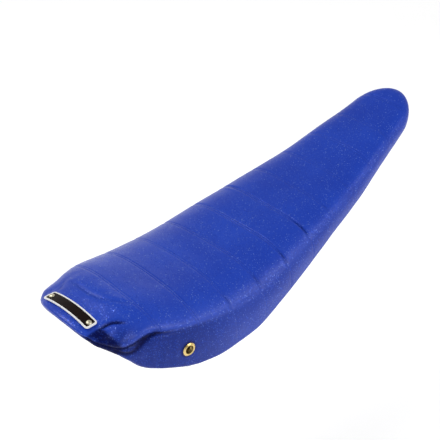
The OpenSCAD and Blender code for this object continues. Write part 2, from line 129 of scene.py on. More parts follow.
# Folds gathered round the tail's right corner, as station, y and height. Each fold also has its
# width, depth, lip and the shares of its length over which it fades in and out.
FOLD_UPPER = [(18, -38, 75), (25, -39, 75), (33, -40, 75), (38, -42, 75), (44, -47, 74),
              (51, -53, 73)]
FOLD_LOWER = [(18, -58, 60), (24, -62, 55), (30, -65, 51), (37, -68, 49), (45, -70, 52),
              (52, -70, 55), (60, -71, 58), (68, -72, 59), (80, -76, 57)]
VALLEY = [(43, 56, 77), (45, 40, 79), (45, 22, 81), (44, 0, 82), (53, -20, 80), (68, -36, 76),
          (84, -49, 70)]
FOLDS = [(FOLD_UPPER, 1.7, 3.0, 0.7, 0.1, 0.35), (FOLD_LOWER, 2.7, 2.4, 0.4, 0.1, 0.3)]
LEFT_FOLDS = 0.12
POCKET = [(8, -32, 76), (16, -38, 74), (18, -44, 72), (19, -51, 67), (23, -58, 60)]
LOBE = (34, -58, 66)
LOBE_REACH = (13, 11, 11)
LOBE_HEIGHT = 2.4

# The tail of the sewn cover leans to the left
LEAN = 2.0
LEAN_REACH = 90

# Clearances of the stuffed surface, the cover's lining and the foam above the pan, and how far
# the lining and the foam lie under the plain dome
SKIN_CLEAR = 1.9
LINING_CLEAR = 1.1
LINING_DEPTH = 3.6
FOAM_CLEAR = 0.45
FOAM_DEPTH = 4.6

BADGE_OFF = 4.5
VENT_STATION = 98
VENT_Z = 22
VENT_R = 5.25

CAMERA_PLACE = Vector((-0.803, -0.605, 0.772))
CAMERA_AIM = Vector((-0.199, 0.0, 0.068))
CAMERA_ROLL = math.radians(-1.7)
CAMERA_LENS = 75.7
FLOOR_DROP = 0.30
FLOOR_REACH = 14
FLOOR_GLOW = 0.55
SKY = [(0.15, 0.9), (0.5, 0.22)]
KEY_POWER = 15
FILL_POWER = 9


# ---------------------------------------------------------------- smooth curves
def smooth(knots, x):
    """Smooth curve through the knots, level where neighbours are level, as in part.scad."""
    kx = np.array([k[0] for k in knots], float)
    kv = np.array([k[1] for k in knots], float)
    secant = np.diff(kv) / np.diff(kx)
    slope = np.zeros(len(kx))
    slope[0], slope[-1] = secant[0], secant[-1]
    same = secant[:-1] * secant[1:] > 0
    pair = np.where(same, secant[:-1] + secant[1:], 1)
    slope[1:-1] = np.where(same, 2 * secant[:-1] * secant[1:] / pair, 0)
    x = np.clip(np.asarray(x, float), kx[0], kx[-1])
    i = np.clip(np.searchsorted(kx, x, side="right") - 1, 0, len(kx) - 2)
    h = kx[i + 1] - kx[i]
    t = (x - kx[i]) / h
    u = 1 - t
    return (u * u * (1 + 2 * t) * kv[i] + t * t * (3 - 2 * t) * kv[i + 1]
            + h * t * u * (u * slope[i] - t * slope[i + 1]))


def crown(x, y):
    fall = (np.minimum(np.abs(y), CROWN_LIMIT) / CROWN_REACH) ** 2
    return TAIL_CROWN * fall * np.maximum(0, 1 - x / TAIL_FADE)


def crest(x, y):
    return smooth(CREST_LINE, x) - crown(x, y)


def pan_floor(x, y):
    return smooth(FLOOR_LINE, x) - 0.7 * crown(x, y)


def edge(o):
    return smooth(EDGE_LINE, o[:, 0]) - crown(o[:, 0], o[:, 1]) / 2


def drawn_in(o, inset, g):
    """Outline points moved in by inset, then drawn towards the spine by the factor g."""
    spine = np.stack([np.clip(o[:, 0], TAIL_SPINE, NOSE_SPINE), np.zeros(len(o))], 1)
    away = o - spine
    reach = np.linalg.norm(away, axis=1, keepdims=True)
    return spine + away * g * (reach - inset) / reach


def hem_height(o):
    """How far the cover's hem reaches up inside the pan, less where the pan is shallow."""
    p = drawn_in(o, FLANK_T, 1)
    return np.minimum(HEM_MAX, 0.4 * (pan_floor(p[:, 0], p[:, 1]) - edge(o)))


def line_stations():
    return LINE_FIRST + LINE_STEP * np.arange(LINE_COUNT)


# ---------------------------------------------------------------- outline and rings
def half_plan():
    """Dense right half of the plan, from the tail's middle to the nose's middle."""
    y = np.linspace(0, TAIL_EDGE[-1][0], 200, endpoint=False)
    tail = np.stack([smooth(TAIL_EDGE, y), -y], 1)
    s = np.linspace(TAIL_EDGE[-1][1], NOSE_SPINE, 3000, endpoint=False)
    flank = np.stack([s, -smooth(HALF_WIDTH, s)], 1)
    a = np.linspace(0, math.pi / 2, 300)
    s = NOSE_SPINE + NOSE_R * np.sin(a)
    nose = np.stack([s, -smooth(HALF_WIDTH, s) * np.cos(a)], 1)
    plan = np.concatenate([tail, flank, nose])
    # rounds the tail's corner
    kernel = np.hanning(41)[1:-1]
    kernel /= kernel.sum()
    pad = len(kernel) // 2
    for axis in (0, 1):
        soft = np.convolve(plan[:, axis], kernel, mode="valid")
        near_tail = plan[pad:-pad, 0] < CORNER_END
        middle = plan[pad:-pad, axis]
        plan[pad:-pad, axis] = np.where(near_tail, soft, middle)
    plan[0, 1] = plan[-1, 1] = 0
    return plan


def outline(fine, coarse):
    """Closed outline: tail middle, right side, nose middle, left side.

    Points are `coarse` apart, `fine` apart around the quilting lines and closer at the tail.
    Gives the points and the number of steps in one half."""
    plan = half_plan()
    length = np.concatenate([[0], np.cumsum(np.linalg.norm(np.diff(plan, axis=0), axis=1))])
    near = np.min(np.abs(plan[:, :1] - line_stations()[None]), axis=1)
    spacing = np.where(near < NEAR_LINE, fine, coarse)
    spacing = np.where(plan[:, 0] < DENSE_TAIL, np.minimum(spacing, 0.5 * coarse), spacing)
    count = np.concatenate([[0], np.cumsum(np.diff(length) / spacing[1:])])
    steps = int(round(count[-1]))
    at = np.interp(np.linspace(0, count[-1], steps + 1), count, length)
    half = np.stack([np.interp(at, length, plan[:, 0]), np.interp(at, length, plan[:, 1])], 1)
    return np.concatenate([half, half[-2:0:-1] * [1, -1]]), steps


def dome_steps(count):
    """Profile factors (g, h) from the lower edge to the crest, evenly spaced along the arc."""
    a = np.linspace(0, math.pi / 2, 2000)
    g = np.cos(a).clip(0, 1) ** DOME_POWER
    h = np.sin(a).clip(0, 1) ** DOME_POWER
    g[-1], h[-1] = 0, 1
    length = np.hypot(np.diff(g) * DOME_WIDE, np.diff(h) * DOME_HIGH)
    along = np.concatenate([[0], np.cumsum(length)])
    at = np.linspace(0, along[-1], count)
    return list(zip(np.interp(at, along, g), np.interp(at, along, h)))


def dome(o, inset, lift, top, drop, steps):
    """Rings from the lower edge, raised by lift, up to the height top(x, y) less drop."""
    rings = []
    for g, h in steps:
        p = drawn_in(o, inset, g)
        z0 = edge(o) + lift
        z1 = top(p[:, 0], p[:, 1]) - drop
        rings.append(np.column_stack([p, z0 + (z1 - z0) * h]))
    return rings


def rim(o, inset, lift):
    """A ring at the lower edge, moved in by inset and up by lift."""
    p = drawn_in(o, inset, 1)
    return np.column_stack([p, edge(o) + lift])


def rolled(o, inset, lift, radius, count):
    """Rings of the rolled lower edge, from the flank to the underside."""
    turns = np.linspace(0, math.pi / 2, count + 1)[1:]
    return [rim(o, inset + radius * (1 - math.cos(t)), lift + (radius - lift) * (1 - math.sin(t)))
            for t in turns]


# ---------------------------------------------------------------- mesh helpers
def place(points):
    """Row millimetres with stations to metres in the frame."""
    p = np.array(points, float)
    p[:, 0] -= STATION_0
    return p * MM


def new_object(name, vertices, faces):
    mesh = bpy.data.meshes.new(name)
    mesh.from_pydata([tuple(v) for v in vertices], [], [tuple(f) for f in faces])
    mesh.update()
    piece = bpy.data.objects.new(name, mesh)
    bpy.context.scene.collection.objects.link(piece)
    return piece


def welded(rings, half):
    """Vertices and faces of a closed solid whose first and last rings lie on the spine, and the
    places its vertices had in the rings. The end rings zip their left half to their right half."""
    n = len(rings[0])
    j = np.arange(n)
    k = (j + 1) % n
    quads = [np.stack([a + j, a + k, a + n + k, a + n + j], 1)
             for a in range(0, (len(rings) - 1) * n, n)]
    points = np.concatenate(rings)
    weld = np.arange(len(points))
    # points of the end rings that coincide with their neighbours become one
    for start in (0, (len(rings) - 1) * n):
        for i in range(1, half + 1):
            if np.linalg.norm(points[start + i] - points[start + i - 1]) < SAME_POINT:
                weld[start + i] = weld[start + i - 1]
        for i in range(half + 1, n):
            weld[start + i] = weld[start + n - i]
    faces = weld[np.concatenate(quads)]
    used = np.unique(faces)
    renumber = np.full(len(points), -1)
    renumber[used] = np.arange(len(used))
    tidy = []
    for f in renumber[faces].tolist():
        corners = [c for i, c in enumerate(f) if c != f[i - 1]]
        if len(set(corners)) == len(corners) and len(corners) > 2:
            tidy.append(corners)
    return points[used], tidy, used


def shade(piece):
    for polygon in piece.data.polygons:
        polygon.use_smooth = True


def cut(piece, cutters):
    """Takes the cutters' volumes out of a closed piece."""
    for cutter in cutters:
        modifier = piece.modifiers.new("cut", "BOOLEAN")
        modifier.operation = "DIFFERENCE"
        modifier.solver = "EXACT"
        modifier.object = cutter
    graph = bpy.context.evaluated_depsgraph_get()
    mesh = bpy.data.meshes.new_from_object(piece.evaluated_get(graph))
    piece.modifiers.clear()
    old = piece.data
    piece.data = mesh
    bpy.data.meshes.remove(old)
    for cutter in cutters:
        bpy.data.objects.remove(cutter)


# ---------------------------------------------------------------- shape of the stuffed cover
def to_route(points, route):
    """Distance of each point from a polyline and how far along it (0 to 1) the nearest place is."""
    route = np.array(route, float)
    legs = np.linalg.norm(np.diff(route, axis=0), axis=1)
    start = np.concatenate([[0], np.cumsum(legs)])
    best = np.full(len(points), 1e9)
    along = np.zeros(len(points))
    for i in range(len(route) - 1):
        leg = route[i + 1] - route[i]
        t = ((points - route[i]) @ leg / (leg @ leg)).clip(0, 1)
        away = np.linalg.norm(points - route[i] - t[:, None] * leg, axis=1)
        closer = away < best
        best[closer] = away[closer]
        along[closer] = (start[i] + t[closer] * legs[i]) / start[-1]
    return best, along


def rounded_route(route):
    """The polyline with its corners cut twice, which rounds it."""
    for _ in range(2):
        a, b = np.array(route[:-1], float), np.array(route[1:], float)
        inner = np.stack([0.75 * a + 0.25 * b, 0.25 * a + 0.75 * b], 1).reshape(-1, len(route[0]))
        route = np.concatenate([[route[0]], inner, [route[-1]]])
    return route


def bell(x, width):
    """1 at zero, fading over the width."""
    return np.exp(-(x / width) ** 2)


def step(x):
    """Soft step from 0 to 1."""
    x = np.clip(x, 0, 1)
    return x * x * (3 - 2 * x)


def crease(points, route, width, depth, lip, fade_in, fade_out):
    """A crease in the vinyl: a sharp valley along the route with raised lips, and the shade painted
    along it.
    """
    away, along = to_route(points, rounded_route(route))
    ends = np.minimum(step(along / fade_in), step((1 - along) / fade_out))
    off = -depth * np.exp(-away / width) + lip * bell(away - 3 * width, 1.8 * width)
    return ends * off, ends * step((1.7 * width - away) / (1.4 * width))


def from_lobe(points, side=1):
    """Distance from the bulge between the folds, 1 at its rim."""
    return np.linalg.norm((points - np.array(LOBE) * [1, side, 1]) / np.array(LOBE_REACH), axis=1)


def mirrored(route):
    return [(x, -y, z) for x, y, z in route]


def random_field(points, scale, seed):
    """Smooth noise with waves of about the scale, in millimetres."""
    offset = Vector((seed * 17.3, seed * 5.1, seed * 9.7))
    return np.array([noise.noise(Vector(p) / scale + offset) for p in points])


def quilting(s, y, z, seam_gap, on_top):
    """The double grooves across the top panel, the soft pads between them and the pleats at
    their ends: how far they stand off and how much shade is painted into them."""
    phase = (s - LINE_FIRST) / LINE_STEP
    inside = step((s - 48) / 12) * step((590 - s) / 14)
    pad = np.abs(np.sin(math.pi * phase)) ** 0.8 - 0.6
    off = pad * inside * (0.32 * on_top + 0.12 * (1 - on_top))
    fold = np.zeros(len(s))
    for k, line in enumerate(line_stations()):
        across = s - line - 0.9 * np.sin(y / 23 + k)
        pair = bell(across - LINE_PAIR / 2, 0.7) + bell(across + LINE_PAIR / 2, 0.7)
        deep = LINE_DEPTHS[min(k, len(LINE_DEPTHS) - 1)]
        off -= deep * pair * on_top
        # over the shoulder the line ends in a pinched pleat
        strength = PINCHES[min(k, len(PINCHES) - 1)]
        reach = bell(seam_gap - (18 if k == LONGEST_PINCH else 11), 5 + 4 * strength)
        pinch = strength * np.exp(-np.abs(across) / 1.1) * reach * np.where(y < 0, 1, LEFT_PINCH)
        off -= 0.55 * pinch
        off += strength * 0.18 * bell(np.abs(across) - 4.5, 2.6) * reach
        # shade painted into the pinched pleats and the grooves
        fold += 0.6 * np.clip(pinch - 0.3, 0, 1.2) + 0.25 * deep * pair * on_top
        # and runs on down the skirt as a faint line
        down = (1 - on_top) * step((z - smooth(EDGE_LINE, s) - 2) / 12)
        off -= 0.2 * strength * bell(across - 0.05 * seam_gap, 1.1) * down
    return off, fold


def stuffing(points, seam_gap):
    """How far the stuffed vinyl stands off the plain dome, how much shade is painted into the
    creases, seams and round the vents at each point, and how much painted shade and duller coat the
    skirt and the bulge get.

    points: station, y, z in millimetres. seam_gap: distance above the seam along the surface."""
    s, y, z = points.T
    on_top = step((seam_gap + 1) / 3)
    off, fold = quilting(s, y, z, seam_gap, on_top)

    # seam between the top panel and the side skirt
    depth = smooth(SEAM_DEPTH, s) * np.where(y < 0, 1, LEFT_SEAM)
    width = 1.0 + 1.3 * step((100 - s) / 60)
    seam = depth * np.exp(-np.abs(seam_gap) / width)
    off -= seam
    off += 0.30 * depth * bell(seam_gap + 6, 5)
    off += 0.22 * depth * bell(seam_gap - 6, 5)

    # folds gathered round the tail's corners, deeper on the right, with shade painted along them
    for side, share in ((1, 1.0), (-1, LEFT_FOLDS)):
        turn = mirrored if side < 0 else list
        for route, *shape in FOLDS:
            valley, dark = crease(points, turn(route), *shape)
            off += share * valley
            fold += share * dark
        off += share * LOBE_HEIGHT * bell(from_lobe(points, side), 1.0)
        # the vinyl tucked in behind the corner, with painted shadow right down to the hem
        for drop in (0, 5, 10):
            route = [(x - 0.6 * drop, y, z - drop) for x, y, z in turn(POCKET)]
            away, along = to_route(points, rounded_route(route))
            off -= share * 0.35 * bell(away, 5) * step(5 * along)
            fold = np.maximum(fold, share * step((9.8 - away) / 5.0) * step(6 * along))
    # a shallow valley across the tail's top, with a little painted shade
    valley, dark = crease(points, VALLEY, 2.0, 1.2, 0.12, 0.35, 0.35)
    off += valley
    fold += 0.25 * dark

    # small pleats where the skirt is gathered under the tail
    gather = step((150 - s) / 60) * step((seam_gap + 60) / 20) * step((-seam_gap - 6) / 10)
    off += 0.22 * gather * np.sin(s / 2.1 + 0.8 * np.sin(z / 9))

    # slack in the vinyl
    loose = 0.16 + 0.3 * step((120 - s) / 80)
    off += loose * random_field(points * np.array([1, 1, 1.3]), 19, 1)
    off += 0.3 * loose * random_field(points, 7.5, 2)

    # flat under the vents and the badge
    from_vent = np.hypot(s - VENT_STATION, z - VENT_Z)
    flat = step((from_vent - 8) / 6)
    beside = np.abs(y - BADGE_OFF)
    under_badge = (1 - step((s - 26) / 5)) * step((44 - beside) / 4) * step((z - 73) / 3)
    off *= flat * (1 - 0.9 * under_badge)

    # painted shade in the deep seam and painted shadow round the vents; painted shade and a duller
    # coat on the skirt and the bulge
    fold += np.clip((seam - 0.55) / 1.5, 0, 1)
    # a ring of painted shadow round each vent
    ring = 0.75 * bell(from_vent - 9, 1.2)
    fold = np.clip(fold * (1 - under_badge) * flat + ring, 0, 1)
    # the skirt's painted shade, stronger towards the tail
    soft = np.where(y < 0, 3 + 16 * step((s - 110) / 120), 22)
    skirt = (1 - step((seam_gap + 0.7 * soft) / soft)) * (0.45 + 0.55 * step((200 - s) / 110))
    return off, fold, np.maximum(skirt, 0.85 * bell(from_lobe(points), 1))


def seam_gap_of(o, steps, rings):
    """Distance along the surface from the seam for every point of the dome's rings."""
    shape = np.array(rings)
    along = np.concatenate([np.zeros((1, shape.shape[1])),
                            np.cumsum(np.linalg.norm(np.diff(shape, axis=0), axis=2), axis=0)])
    h = np.array([q[1] for q in steps])
    seam_h = smooth(SEAM_HEIGHT, o[:, 0])
    seam_at = np.array([np.interp(seam_h[j], h, along[:, j]) for j in range(len(o))])
    return along - seam_at[None]


def grid_normals(rings):
    """Outward normals of a grid of rings that run from the crest to the lower edge."""
    grid = np.array(rings)
    around = np.roll(grid, -1, axis=1) - np.roll(grid, 1, axis=1)
    down = np.gradient(grid, axis=0)
    normal = np.cross(down, around)
    length = np.linalg.norm(normal, axis=2, keepdims=True)
    normal = normal / np.maximum(length, 1e-9)
    normal[length[:, :, 0] < 1e-6] = (0, 0, 1)
    normal[0] = (0, 0, 1)
    return normal


def lowest_nearby(off, steps, coarse_steps):
    """Lowest displacement around each ring of a coarser set of rings."""
    h = np.array([q[1] for q in steps])[::-1]
    coarse = [q[1] for q in coarse_steps]
    out = []
    for i in range(len(coarse)):
        low, high = coarse[max(i - 1, 0)], coarse[min(i + 1, len(coarse) - 1)]
        band = off[(h >= low - SAME_POINT) & (h <= high + SAME_POINT)].min(axis=0)
        for _ in range(3):
            band = np.minimum(band, np.minimum(np.roll(band, 1), np.roll(band, -1)))
        out.append(np.minimum(band, 0))
    return out


def skewed(points):
    """The tail of the sewn cover sits a little to the left."""
    points[:, 1] += LEAN * np.clip(1 - points[:, 0] / LEAN_REACH, 0, 1)
    return points


class Skin:
    """The stuffed outer surface, shared by the cover and the foam under it."""

    def __init__(self):
        self.o, self.half = outline(SKIN_FINE, SKIN_COARSE)
        steps = dome_steps(SKIN_RINGS)
        outer = dome(self.o, 0, ROLL_R, crest, 0, steps)
        gap = seam_gap_of(self.o, steps, outer)[::-1]
        roll = rolled(self.o, 0, 0, ROLL_R, ROLL_RINGS)
        rings = outer[::-1] + roll
        below = gap[-1] - ROLL_SPACING * np.arange(1, len(roll) + 1)[:, None]
        gap = np.concatenate([gap, below])
        grid = np.array(rings)
        # stand-off, painted shade in the creases, and the skirt's painted shade and dullness at every
        # point
        off, fold, dull_and_shade = stuffing(grid.reshape(-1, 3), gap.ravel())
        self.off = off.reshape(gap.shape)
        self.tones = {"fold": fold.reshape(gap.shape), "dull_and_shade": dull_and_shade.reshape(gap.shape)}
        fade = np.linspace(1, 0.2, len(roll))[:, None]
        self.off[len(outer):] *= fade
        grid = grid + grid_normals(rings) * self.off[:, :, None]
        self.rings = [self.over_pan(ring, SKIN_CLEAR) if i < len(outer) else ring
                      for i, ring in enumerate(grid)]
        self.inner_steps = dome_steps(LINING_RINGS)
        self.low = lowest_nearby(self.off[:len(outer)], steps, self.inner_steps)

    def lining(self, depth, clear):
        """Rings of an inner surface that stays under the folds and clear of the pan."""
        plain = dome(self.o, depth, ROLL_R, crest, depth, self.inner_steps)
        normal = grid_normals(plain[::-1])[::-1]
        rings = []
        for ring, out, low in zip(plain, normal, self.low):
            rings.append(self.over_pan(ring + out * low[:, None], clear))
        return rings

    def over_pan(self, ring, clear):
        """Lifts the ring's points that lie over the pan to a distance above its rounded top."""
        spine = np.stack([np.clip(self.o[:, 0], TAIL_SPINE, NOSE_SPINE), np.zeros(len(self.o))], 1)
        reach = np.linalg.norm(self.o - spine, axis=1) - FLANK_T
        share = np.linalg.norm(ring[:, :2] - spine, axis=1) / reach
        low = edge(self.o) + COVER_T + GAP
        top = low + (pan_floor(ring[:, 0], ring[:, 1]) - low) * np.interp(share, *PAN_SHOULDER)
        ring[:, 2] = np.where(share < 1, np.maximum(ring[:, 2], top + clear), ring[:, 2])
        return ring


def cover_piece(skin):
    o = skin.o
    hem_inset = FLANK_T + PAN_T + 2 * GAP
    hem_z = hem_height(o)
    under = [rim(o, hem_inset + COVER_T, 0), rim(o, hem_inset + COVER_T, hem_z),
             rim(o, hem_inset, hem_z), rim(o, hem_inset, COVER_T), rim(o, ROLL_R, COVER_T),
             rim(o, 0.45 * ROLL_R + 1.6, 0.45 * ROLL_R)]
    rings = skin.rings + under + skin.lining(LINING_DEPTH, LINING_CLEAR)
    points, faces, used = welded(rings, skin.half)
    piece = new_object("cover_skin", place(skewed(points)), faces)
    # the painted shade and the skirt's painted shade and dullness go on as point attributes
    for name, tone in skin.tones.items():
        value = np.zeros((len(rings), len(o)))
        value[:len(tone)] = tone
        layer = piece.data.attributes.new(name, "FLOAT", "POINT")
        layer.data.foreach_set("value", value.ravel()[used].astype(np.float32))
    shade(piece)
    return piece


def foam_piece(skin):
    o = skin.o
    floor_steps = [(1, 0), (1, 0.5), (1, 0.75), (0.985, 0.9), (0.95, 0.97), (0.9, 1), (0.6, 1),
                   (0.3, 1), (0, 1)]
    top = skin.lining(FOAM_DEPTH, FOAM_CLEAR)
    bottom = dome(o, FLANK_T, COVER_T + GAP, pan_floor, -GAP, floor_steps)
    rings = top[::-1] + [rim(o, ROLL_R, COVER_T + GAP)] + bottom
    points, faces, _ = welded(rings, skin.half)
    piece = new_object("foam_cushion", place(skewed(points)), faces)
    shade(piece)
    return piece


def pan_piece():
    o, half = outline(PAN_SPACING, PAN_SPACING)
    profile = [(1, 0), (1, 0.4), (1, 0.7), (0.997, 0.8), (0.985, 0.89), (0.968, 0.945),
               (0.945, 0.98), (0.915, 0.997), (0.88, 1), (0.75, 1), (0.6, 1), (0.45, 1), (0.3, 1),
               (0.15, 1), (0, 1)]
    skin = COVER_T + GAP
    outer = dome(o, FLANK_T + GAP, skin, pan_floor, 0, profile)
    inner = dome(o, FLANK_T + GAP + PAN_T, skin, pan_floor, PAN_T, profile)
    rings = outer[::-1] + inner
    points, faces, _ = welded(rings, half)
    piece = new_object("pan_shell", place(points), faces)
    shade(piece)
    return piece


# ---------------------------------------------------------------- vents
def flank_y(s, z):
    """Half width of the plain dome at a station and height."""
    z0 = smooth(EDGE_LINE, s) + ROLL_R
    h = (z - z0) / (smooth(CREST_LINE, s) - z0)
    return smooth(HALF_WIDTH, s) * (1 - h ** (2 / DOME_POWER)) ** (DOME_POWER / 2)


def vent_frames():
    """Place and outward direction of the two vents, in metres."""
    y = float(flank_y(VENT_STATION, VENT_Z))
    along = float(flank_y(VENT_STATION + 5, VENT_Z) - flank_y(VENT_STATION - 5, VENT_Z)) / 10
    upward = float(flank_y(VENT_STATION, VENT_Z + 5) - flank_y(VENT_STATION, VENT_Z - 5)) / 10
    for side in (-1, 1):
        out = Vector((-along, side, -upward)).normalized()
        yield Vector(((VENT_STATION - STATION_0) * MM, side * y * MM, VENT_Z * MM)), out


def vent_cutters(radius, low, high):
    """Rods that cut the two vents, from low to high along the outward direction."""
    cutters = []
    for at, out in vent_frames():
        turn = out.to_track_quat("Z", "Y").to_matrix()
        vertices, faces = [], []
        n = VENT_SIDES
        for z in (low, high):
            for i in range(n):
                a = 2 * math.pi * i / n
                p = Vector((radius * math.cos(a), radius * math.sin(a), z)) * MM
                vertices.append(at + turn @ p)
        for i in range(n):
            k = (i + 1) % n
            faces.append((i, k, n + k, n + i))
        faces.append(tuple(range(n - 1, -1, -1)))
        faces.append(tuple(range(n, 2 * n)))
        cutters.append(new_object("vent_cutter", vertices, faces))
    return cutters


# ---------------------------------------------------------------- materials
class Nodes:
    """Short way to build a node tree."""

    def __init__(self, name):
        self.material = bpy.data.materials.new(name)
        self.material.use_nodes = True
        self.tree = self.material.node_tree
        self.tree.nodes.clear()
        self.shader = self.add("ShaderNodeBsdfPrincipled")
        output = self.add("ShaderNodeOutputMaterial")
        self.link(self.shader, "BSDF", output, "Surface")
        self.place = self.add("ShaderNodeTexCoord")

    def add(self, kind, **settings):
        made = self.tree.nodes.new(kind)
        for key, value in settings.items():
            setattr(made, key, value)
        return made

    def link(self, a, out, b, into):
        self.tree.links.new(a.outputs[out], b.inputs[into])

    def set(self, target, **values):
        for key, value in values.items():
            target.inputs[key.replace("_", " ")].default_value = value
        return target

    def noise(self, scale, detail=3.0, stretch=None):
        made = self.add("ShaderNodeTexNoise")
        self.set(made, Scale=scale, Detail=detail, Roughness=0.55)
        self.coordinates(made, stretch)
        return made

    def voronoi(self, scale, feature="F1"):
        made = self.add("ShaderNodeTexVoronoi", feature=feature)
        self.set(made, Scale=scale)
        self.coordinates(made, None)
        return made

    def coordinates(self, texture, stretch):
        if stretch is None:
            self.link(self.place, "Object", texture, "Vector")
            return
        mapping = self.add("ShaderNodeMapping")
        mapping.inputs["Scale"].default_value = stretch
        self.link(self.place, "Object", mapping, "Vector")
        self.link(mapping, "Vector", texture, "Vector")

    def math(self, operation, a, b):
        made = self.add("ShaderNodeMath", operation=operation)
        for value, socket in zip((a, b), made.inputs):
            if isinstance(value, (int, float)):
                socket.default_value = value
            else:
                self.tree.links.new(value, socket)
        return made.outputs[0]

    def ramp(self, factor, stops):
        made = self.add("ShaderNodeValToRGB")
        elements = made.color_ramp.elements
        while len(elements) < len(stops):
            elements.new(0.5)
        for element, (at, color) in zip(elements, stops):
            element.position = at
            element.color = (*color, 1)
        self.tree.links.new(factor, made.inputs["Fac"])
        return made.outputs["Color"]

    def mix(self, factor, a, b):
        made = self.add("ShaderNodeMix", data_type="RGBA")
        for socket, value in ((made.inputs[0], factor), (made.inputs[6], a), (made.inputs[7], b)):
            if isinstance(value, tuple):
                socket.default_value = (*value, 1)
            else:
                self.tree.links.new(value, socket)
        return made.outputs[2]

    def bump(self, height, strength, distance, normal=None):
        made = self.add("ShaderNodeBump")
        self.set(made, Strength=strength, Distance=distance)
        self.tree.links.new(height, made.inputs["Height"])
        if normal is not None:
            self.tree.links.new(normal, made.inputs["Normal"])
        return made.outputs["Normal"]

    def into(self, socket, value):
        self.tree.links.new(value, self.shader.inputs[socket])


def srgb(r, g, b):
    def linear(v):
        v /= 255
        return v / 12.92 if v <= 0.04045 else ((v + 0.055) / 1.055) ** 2.4
    return (linear(r), linear(g), linear(b))


def sparkle_vinyl():
    n = Nodes("sparkle_vinyl")
    # slow changes of tone in the dyed vinyl; painted shade in the creases and on the skirt
    tone = n.noise(14, detail=2)
    base = n.ramp(tone.outputs["Fac"], [(0.3, srgb(22, 59, 176)), (0.7, srgb(28, 69, 190))])
    # painted shade on the skirt and the bulge
    dull_and_shade = n.add("ShaderNodeAttribute", attribute_name="dull_and_shade")
    base = n.mix(n.math("MULTIPLY", dull_and_shade.outputs["Fac"], 0.8), base, srgb(30, 44, 118))
    # navy painted shade in the creases, the seam and round the vents
    fold = n.add("ShaderNodeAttribute", attribute_name="fold")
    base = n.mix(n.math("MULTIPLY", fold.outputs["Fac"], 0.96), base, srgb(0, 5, 66))
    matte = n.math("MAXIMUM", dull_and_shade.outputs["Fac"], fold.outputs["Fac"])
    gloss = n.math("SUBTRACT", 1.0, n.math("MULTIPLY", matte, 0.95))
    n.into("Coat Weight", n.math("MULTIPLY", gloss, 0.55))
    # flakes of glitter: one in several cells shows, each turned its own way
    cells = n.voronoi(760)
    color = n.add("ShaderNodeSeparateColor")
    n.link(cells, "Color", color, "Color")
    lively = n.noise(38, detail=3)
    share = n.math("MULTIPLY", n.math("SUBTRACT", lively.outputs["Fac"], 0.05), 0.95)
    pick = n.math("LESS_THAN", color.outputs["Red"], share)
    small = n.math("LESS_THAN", cells.outputs["Distance"], 0.46)
    # flakes fade where shade is painted in the creases
    flake = n.math("MULTIPLY", n.math("MULTIPLY", pick, small),
                   n.math("SUBTRACT", 1.0, n.math("MULTIPLY", fold.outputs["Fac"], 0.8)))
    flake_color = n.ramp(color.outputs["Green"], [
        (0.0, srgb(30, 62, 180)), (0.6, srgb(46, 82, 202)),
        (0.9, srgb(72, 104, 210)), (1.0, srgb(112, 140, 222))])
    # and dim under the skirt's painted shade
    quiet = n.math("SUBTRACT", 1.0, n.math("MULTIPLY", dull_and_shade.outputs["Fac"], 0.5))
    flake = n.math("MULTIPLY", flake, quiet)
    n.into("Base Color", n.mix(flake, base, flake_color))
    n.into("Metallic", n.math("MULTIPLY", flake, 0.2))
    # fine grain of the vinyl, and the tilt of each flake
    grain = n.voronoi(620, feature="SMOOTH_F1")
    fine = n.noise(900, detail=2)
    height = n.math("ADD", grain.outputs["Distance"], n.math("MULTIPLY", fine.outputs["Fac"], 0.5))
    surface = n.add("ShaderNodeNewGeometry")
    lean = n.add("ShaderNodeVectorMath", operation="SUBTRACT")
    n.link(cells, "Color", lean, 0)
    lean.inputs[1].default_value = (0.5, 0.5, 0.5)
    lean_by = n.add("ShaderNodeVectorMath", operation="SCALE")
    n.link(lean, 0, lean_by, 0)
    n.tree.links.new(n.math("MULTIPLY", flake, 0.38), lean_by.inputs["Scale"])
    tilted = n.add("ShaderNodeVectorMath", operation="ADD")
    n.link(surface, "Normal", tilted, 0)
    n.link(lean_by, 0, tilted, 1)
    facing = n.add("ShaderNodeVectorMath", operation="NORMALIZE")
    n.link(tilted, 0, facing, 0)
    n.into("Normal", n.bump(height, 0.2, 0.0006, facing.outputs[0]))
    wear = n.noise(60, detail=4)
    rough = n.ramp(wear.outputs["Fac"], [(0.25, (0.34, 0.34, 0.34)), (0.75, (0.46, 0.46, 0.46))])
    n.into("Roughness", n.mix(flake, rough, (0.25, 0.25, 0.25)))
    n.set(n.shader, IOR=1.45, Specular_IOR_Level=0.12, Coat_Roughness=0.36)
    return n.material


def foam_material():
    n = Nodes("open_cell_foam")
    cells = n.voronoi(500)
    tone = n.noise(60)
    n.into("Base Color", n.ramp(tone.outputs["Fac"], [(0.3, (0.62, 0.5, 0.24)),
                                                      (0.7, (0.74, 0.62, 0.32))]))
    n.into("Normal", n.bump(cells.outputs["Distance"], 0.6, 0.001))
    n.set(n.shader, Roughness=0.95, Sheen_Weight=0.3)
    return n.material


def painted_steel(name, dark, light, roughness):
    n = Nodes(name)
    tone = n.noise(35, detail=4)
    n.into("Base Color", n.ramp(tone.outputs["Fac"], [(0.3, dark), (0.75, light)]))
    peel = n.noise(900, detail=2)
    n.into("Normal", n.bump(peel.outputs["Fac"], 0.15, 0.0004))
    smudge = n.noise(22, detail=5)
    n.into("Roughness", n.ramp(smudge.outputs["Fac"], [(0.3, (roughness - 0.06,) * 3),
                                                       (0.7, (roughness + 0.1,) * 3)]))
    n.set(n.shader, Coat_Weight=0.3, Coat_Roughness=0.15)
    return n.material


